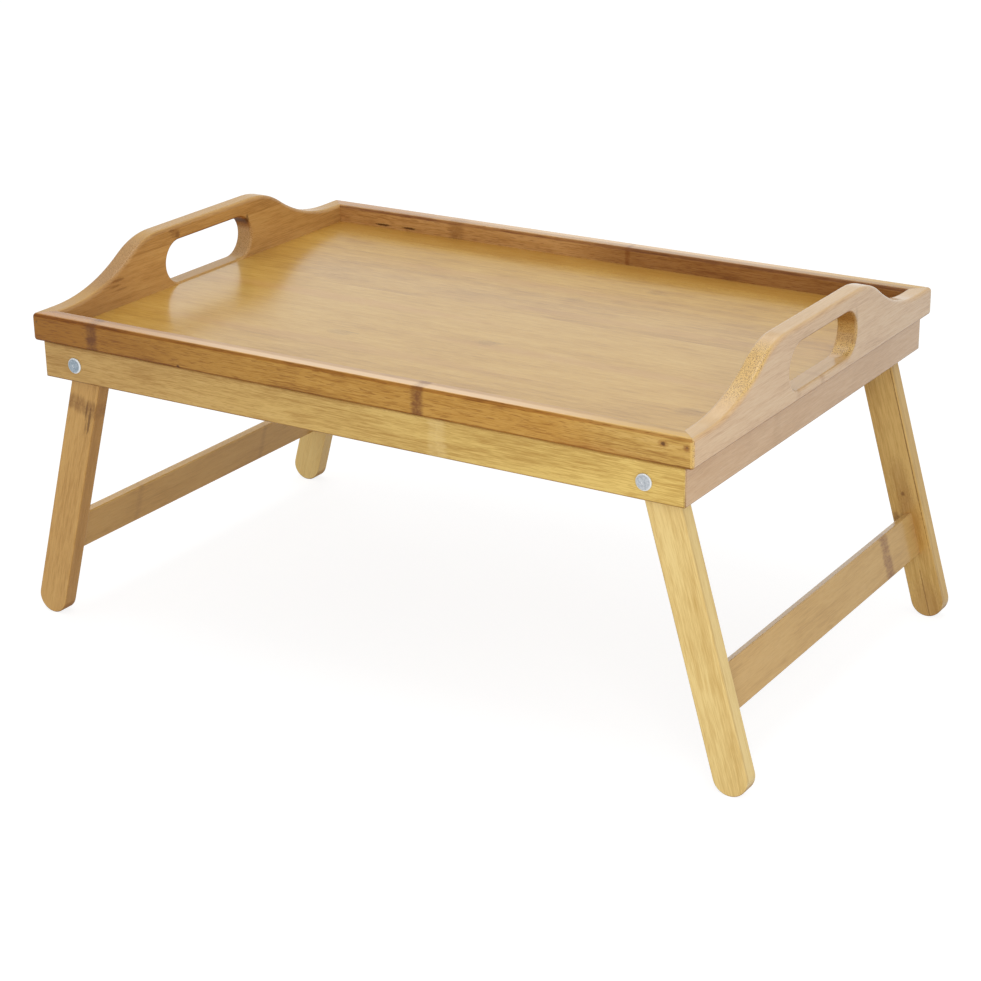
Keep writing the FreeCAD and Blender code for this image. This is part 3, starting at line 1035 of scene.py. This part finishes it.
legLooks = {
    "right_front": {**legTone, "seed": 21.0},
    "right_back": {
        **legStrips,
        "pale": "#E2BE78",
        "middle": "#D8B169",
        "deep": "#B2863E",
        "seed": 22.0,
        "marks": [
            (113.8, -0.1, 2.2, 1.6, 0.8, "#5E3A14"),
            (129.3, -8.9, 4.0, 2.4, 0.5, "#8A5A24"),
            (104.0, 0.0, 22.0, 8.0, 0.3, "#9A6A30"),
            (190.0, 0.0, 26.0, 0.7, 0.6, "#7A4E20"),
            (78.0, 10.5, 95.0, 0.55, 0.75, "#7A5020"),
            (132.0, 2.0, 26.0, 9.0, 0.35, "#96602A"),
            (205.0, 0.0, 34.0, 14.0, 0.35, "#9C6A34"),
        ],
    },
    "left_front": {
        **brownLegTone,
        "seed": 23.0,
        "knuckles": [(35.5, 14.0, 0.55, "#7E4C1E")],
        "marks": [
            (100.0, 12.6, 400.0, 1.3, 0.6, "#B8863E"),
            (44.0, 8.0, 13.0, 1.3, 0.7, "#5E3A14"),
            (38.0, 4.6, 9.0, 1.0, 0.55, "#5E3A14"),
            (49.0, 5.8, 8.0, 0.8, 0.45, "#6A4218"),
        ],
    },
    "left_back": {**legTone, "pale": "#F8DA92", "middle": "#F4D084", "seed": 24.0},
}
barTone = {"stripWide": 40.0, "wideOffset": -120.0, "stripThick": 9.0, "figure": 0.6, "flecks": 0.15}
barLooks = {
    "right": {
        **barTone,
        "pale": "#DCB87A",
        "middle": "#D2AA6A",
        "deep": "#B48C52",
        "seed": 25.0,
        "knuckles": [(97.0, 14.0, 0.65, "#865638")],
    },
    "left": {
        **barTone,
        "pale": "#E6BE76",
        "middle": "#DCB066",
        "deep": "#B68C4A",
        "seed": 26.0,
        "knuckles": [(-78.0, 8.0, 0.18, "#8A5A34"), (70.0, 7.0, 0.18, "#8A5A34")],
    },
}


def legMesh(front):
    # stadium outline from two half turns, thickened inwards from its outer face
    bm = bmesh.new()
    half = leg["width"] / 2
    face = front * leg["outer"]
    outline = [bm.verts.new((half, face, 0))]
    outline += arcFrom(bm, outline[-1], (0, face, 0), -math.pi, leg["endSteps"])
    outline.append(bm.verts.new((-half, face, -leg["reach"])))
    outline += arcFrom(bm, outline[-1], (0, face, -leg["reach"]), -math.pi, leg["endSteps"])
    bm.faces.new(outline)
    thicken(bm, (0, front * (leg["inner"] - leg["outer"]), 0))
    soften(bm, sharpOf(list(bm.edges)), leg["round"], 4)
    return bm


def barMesh():
    bm = bmesh.new()
    bmesh.ops.create_cube(bm, size=1)
    bmesh.ops.scale(bm, vec=(bar["thick"], 2 * leg["inner"], bar["high"]), verts=bm.verts)
    bmesh.ops.translate(bm, vec=(0, 0, -bar["middle"]), verts=bm.verts)
    along = [edge for edge in bm.edges if abs(edge.verts[0].co.y - edge.verts[1].co.y) > leg["inner"]]
    soften(bm, along, bar["round"], 4)
    return bm


for side, sign in sides.items():
    pivot = pivots[f"{side}_leg_frame"]
    hang = Matrix.Translation(pivot) @ Matrix.Rotation(-sign * splay, 4, "Y")
    down = hang.to_3x3() @ Vector((0, 0, -1))
    acrossLeg = hang.to_3x3() @ Vector((1, 0, 0))
    for where, front in depthWays.items():
        name = f"{side}_{where}"
        label = f"{side}{where.title()}Leg"
        finish = bambooFinish(f"{label}Bamboo", legLooks[name], down, acrossLeg, pivot)
        piece(label, legMesh(front), f"{side}_leg_frame", [f"{name}_leg"], finish, hang)
    finish = bambooFinish(f"{side}BarBamboo", barLooks[side], (0, 1, 0), down, pivot)
    piece(f"{side}Bar", barMesh(), f"{side}_leg_frame", [f"{side}_crossbar"], finish, hang)
print("leg frames made")


# rivets, spacers, washers and brads
rivet = {
    "head": 5.5 * mm,
    "flat": 2.4 * mm,
    "high": 2.0 * mm,
    "edge": 0.55 * mm,
    "shank": 2.5 * mm,
    "flare": 3.6 * mm,
    "bore": 1.5 * mm,
    "boreDeep": 4.5 * mm,
    "punch": 0.8 * mm,
    "punchDeep": 0.25 * mm,
    "punchSlope": 0.25 * mm,
    "punchDish": 0.03 * mm,
    "tuck": 0.1 * mm,
    "flareTaper": 0.4 * mm,
    "boreSink": 0.1 * mm,
    "boreTaper": 0.8,
    "boreTip": 0.5 * mm,
    "domeSteps": 8,
    "turnSteps": 48,
    "flareHigh": 0.9 * mm,
    "roughness": 0.3,
    # each side's rivet tints; the left pair is a darker copy of the same zinc, as painted shade
    "right": ("#C4C8CC", "#A9AFB5"),
    "left": ("#A2AEB7", "#86939E"),
}
zinc = {
    "mottleScale": 0.8,
    "mottle": (0.35, 0.65),
    "duller": 0.1,
    "fineScale": 5.0,
    # painted highlight where the surface turns away from the rivet's axis
    "edge": (0.97, 0.8),
    "headHighlightShare": 0.8,
    "headHighlightTint": "#EEF1F3",
    "bumpDistance": 0.04 * mm,
    "bump": 0.4,
}


def zincFinish(name, tint, dull, roughness):
    # bright zinc plate: faint mottle, and a painted highlight where the surface turns from the axis, as on
    # the rim of the head
    made, tree, shader = freshMaterial(name)
    source = put(tree, "ShaderNodeTexCoord")
    local = inMillimetres(tree, source)
    mottle = noise(tree, stretched(tree, local, [zinc["mottleScale"]] * 3), detail=4.0, roughness=0.6)
    mottle = remap(tree, mottle, *zinc["mottle"])
    fine = noise(tree, stretched(tree, local, [zinc["fineScale"]] * 3), detail=3.0, roughness=0.7)
    shade = blend(tree, mottle, colour(dull), colour(tint))
    facing = apart(tree, source.outputs["Normal"])["Y"]
    headHighlight = remap(tree, sums(tree, "ABSOLUTE", facing), *zinc["edge"])
    shade = blend(tree, times(tree, headHighlight, zinc["headHighlightShare"]), shade, colour(zinc["headHighlightTint"]))
    rough = remap(tree, mottle, 0.0, 1.0, roughness + zinc["duller"], roughness)
    bump = put(
        tree, "ShaderNodeBump",
        {"Height": fine, "Distance": zinc["bumpDistance"], "Strength": zinc["bump"]},
    )
    normal = bump.outputs["Normal"]
    feed(tree, shader, {"Base Color": shade, "Roughness": rough, "Normal": normal, "Metallic": 1.0})
    return made


def rivetMesh(grip, flareEnd):
    # turned from its half section: punched head, shank and flared end; local +Y runs inwards
    bm = bmesh.new()
    head, flat, edge = rivet["head"], rivet["flat"], rivet["edge"]
    shank, flare, bore = rivet["shank"], rivet["flare"], rivet["bore"]
    face = -rivet["high"]
    punch = rivet["punch"]
    section = [
        (0, face + rivet["punchDeep"]),
        (punch - rivet["punchSlope"], face + rivet["punchDeep"] - rivet["punchDish"]),
        (punch, face),
        (flat, face),
    ]
    for step in range(1, rivet["domeSteps"]):
        angle = step / rivet["domeSteps"] * math.pi / 2
        x = flat + (head - flat) * math.sin(angle)
        section.append((x, face + (rivet["high"] - edge) * (1 - math.cos(angle))))
    section += [
        (head, -edge),
        (head - rivet["tuck"], 0),
        (shank, 0),
        (shank, grip),
        (flare, grip),
        (flare, (grip + flareEnd) / 2),
        (flare - rivet["flareTaper"], flareEnd),
        (bore, flareEnd - rivet["boreSink"]),
        (bore * rivet["boreTaper"], flareEnd - rivet["boreDeep"] + rivet["boreTip"]),
        (0, flareEnd - rivet["boreDeep"]),
    ]
    verts = [bm.verts.new((x, y, 0)) for x, y in section]
    edges = [bm.edges.new(pair) for pair in zip(verts, verts[1:])]
    bmesh.ops.spin(
        bm, geom=verts + edges, cent=(0, 0, 0), axis=(0, 1, 0), angle=2 * math.pi,
        steps=rivet["turnSteps"], use_merge=True,
    )
    return bm


washer = {"tint": "#AEB4BA", "dull": "#858C93", "roughness": 0.36}
washerZinc = zincFinish("washerZinc", **washer)
for side, sign in sides.items():
    pivot = pivots[f"{side}_leg_frame"]
    headZinc = zincFinish(f"{side}RivetZinc", *rivet[side], rivet["roughness"])
    for where, front in depthWays.items():
        name = f"{side}_{where}"
        low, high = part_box(f"{name}_rivet")
        tips = (abs(low.y), abs(high.y))
        skin = max(tips) - rivet["high"]
        flareEnd = skin - min(tips)
        turned = Matrix.Rotation(0 if front < 0 else math.pi, 4, "Z")
        piece(
            f"{side}{where.title()}Rivet", rivetMesh(flareEnd - rivet["flareHigh"], flareEnd), "tray",
            [f"{name}_rivet"], headZinc,
            Matrix.Translation((pivot.x, front * skin, pivot.z)) @ turned,
        )
        dress(f"{name}_spacer", washerZinc)
        dress(f"{name}_washer", washerZinc)

bradLow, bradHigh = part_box("rim_brads")
brad = {
    "x": bradHigh.x - 0.7 * mm,  # the brad's own radius
    "y": rim["halfDeep"] - 0.17 * mm,  # leaves bradProud of the height outside
    "z": (bradLow.z + bradHigh.z) / 2,
    "foot": 0.85 * mm,
    "top": 0.5 * mm,
    "high": 0.5 * mm,
    "round": 0.08 * mm,
    "dark": "#6B4419",
    "pale": "#8F6227",
    "grains": (0.35, 0.65),
    "grainScale": (3.0, 3.0, 3.0),
    "roughness": (0.5, 0.62),
}


def bradMesh():
    # sunk brads closed with filler: four low domes just proud of the rail
    bm = bmesh.new()
    for signX in (1, -1):
        for signY in (1, -1):
            spot = Matrix.Translation((signX * brad["x"], signY * brad["y"], brad["z"]))
            made = bmesh.ops.create_cone(
                bm, cap_ends=True, segments=20, radius1=brad["foot"], radius2=brad["top"],
                depth=brad["high"], matrix=spot @ Matrix.Rotation(signY * math.pi / 2, 4, "X"),
            )
            touched = list({edge for vert in made["verts"] for edge in vert.link_edges})
            soften(bm, touched, brad["round"], 2)
    return bm


def fillerFinish():
    made, tree, shader = freshMaterial("bradFiller")
    local = inMillimetres(tree, put(tree, "ShaderNodeTexCoord"))
    grains = noise(tree, stretched(tree, local, brad["grainScale"]), detail=3.0)
    grains = remap(tree, grains, *brad["grains"])
    shade = blend(tree, grains, colour(brad["dark"]), colour(brad["pale"]))
    rough = remap(tree, grains, 0.0, 1.0, *brad["roughness"])
    feed(tree, shader, {"Base Color": shade, "Roughness": rough})
    return made


piece("bradFillings", bradMesh(), "tray", ["rim_brads"], fillerFinish())
print("metal finished")


# floor, light and camera
studio = {
    "fill": 0.55,  # plain white light from all round
    "floorSize": 14,
    "floorTone": (0.65, 0.65, 0.65, 1),  # what the floor throws back on the object
    "floorSeen": (0.3, 0.3, 0.3, 1),  # as the camera sees it, with a glow that makes it white
    "floorGlow": 0.84,
    "softboxes": [
        # place, aim, side, power in watts, and whether the lacquer mirrors it
        ("keySoftbox", (0.68, -0.88, 0.42), (0.0, 0.0, 0.17), 0.6, 4.6, False),
        ("topSoftbox", (0.0, -0.2, 2.2), (0.0, 0.0, 0.2), 1.2, 9.0, True),
        ("backSoftbox", (-0.8, 1.2, 2.0), (0.0, 0.0, 0.2), 1.2, 4.0, True),
    ],
}
white = (1, 1, 1, 1)


def stageFloor():
    bm = bmesh.new()
    bmesh.ops.create_grid(bm, x_segments=1, y_segments=1, size=studio["floorSize"])
    mesh = bpy.data.meshes.new("studioFloor")
    bm.to_mesh(mesh)
    bm.free()
    made = bpy.data.objects.new("studioFloor", mesh)
    bpy.context.scene.collection.objects.link(made)
    pale = bpy.data.materials.new("paleFloor")
    pale.use_nodes = True
    tree = pale.node_tree
    tree.nodes.clear()
    plain = put(tree, "ShaderNodeBsdfDiffuse", {"Color": studio["floorTone"]})
    soft = put(tree, "ShaderNodeBsdfDiffuse", {"Color": studio["floorSeen"]})
    lift = put(tree, "ShaderNodeEmission", {"Color": white, "Strength": studio["floorGlow"]})
    bright = put(tree, "ShaderNodeAddShader", {0: soft.outputs[0], 1: lift.outputs[0]})
    chosen = put(
        tree, "ShaderNodeMixShader", {0: seenDirectly(tree), 1: plain.outputs[0], 2: bright.outputs[0]},
    )
    put(tree, "ShaderNodeOutputMaterial", {"Surface": chosen.outputs[0]})
    mesh.materials.append(pale)


def softbox(name, place, aim, side, power, mirrored):
    lamp = bpy.data.lights.new(name, "AREA")
    lamp.shape = "SQUARE"
    lamp.size = side
    lamp.energy = power
    made = bpy.data.objects.new(name, lamp)
    made.location = place
    made.rotation_euler = (Vector(aim) - Vector(place)).to_track_quat("-Z", "Y").to_euler()
    made.visible_glossy = mirrored
    bpy.context.scene.collection.objects.link(made)


def whiteWorld():
    world = bpy.data.worlds.new("whiteStudio")
    bpy.context.scene.world = world
    world.use_nodes = True
    tree = world.node_tree
    tree.nodes.clear()
    fill = put(tree, "ShaderNodeBackground", {"Color": white, "Strength": studio["fill"]})
    shown = put(tree, "ShaderNodeBackground", {"Color": white, "Strength": 1.0})
    chosen = put(
        tree, "ShaderNodeMixShader", {0: seenDirectly(tree), 1: fill.outputs[0], 2: shown.outputs[0]},
    )
    put(tree, "ShaderNodeOutputWorld", {"Surface": chosen.outputs[0]})


view = {
    "place": (0.827957, -1.297985, 0.691750),
    "yaw": 0.5669,  # radians, as are pitch and roll
    "pitch": 0.3716,
    "roll": -0.0160,
    "lens": 87.1,
    "sensor": 36,
    "near": 0.05,
    "far": 60,
}


def placeCamera():
    yaw, pitch, roll = view["yaw"], view["pitch"], view["roll"]
    level = math.cos(pitch)
    ahead = Vector((-math.sin(yaw) * level, math.cos(yaw) * level, -math.sin(pitch)))
    right = Vector((math.cos(yaw), math.sin(yaw), 0))
    up = right.cross(ahead)
    leanRight = math.cos(roll) * right + math.sin(roll) * up
    leanUp = math.cos(roll) * up - math.sin(roll) * right
    lens = bpy.data.cameras.new("photoView")
    lens.sensor_width = view["sensor"]
    lens.lens = view["lens"]
    lens.clip_start = view["near"]
    lens.clip_end = view["far"]
    made = bpy.data.objects.new("photoView", lens)
    turned = Matrix((leanRight, leanUp, -ahead)).transposed().to_4x4()
    made.matrix_world = Matrix.Translation(view["place"]) @ turned
    bpy.context.scene.collection.objects.link(made)
    bpy.context.scene.camera = made


stageFloor()
for box in studio["softboxes"]:
    softbox(*box)
whiteWorld()
placeCamera()
bpy.context.scene.view_settings.view_transform = "Standard"
print("stage ready")

bpy.context.view_layer.update()
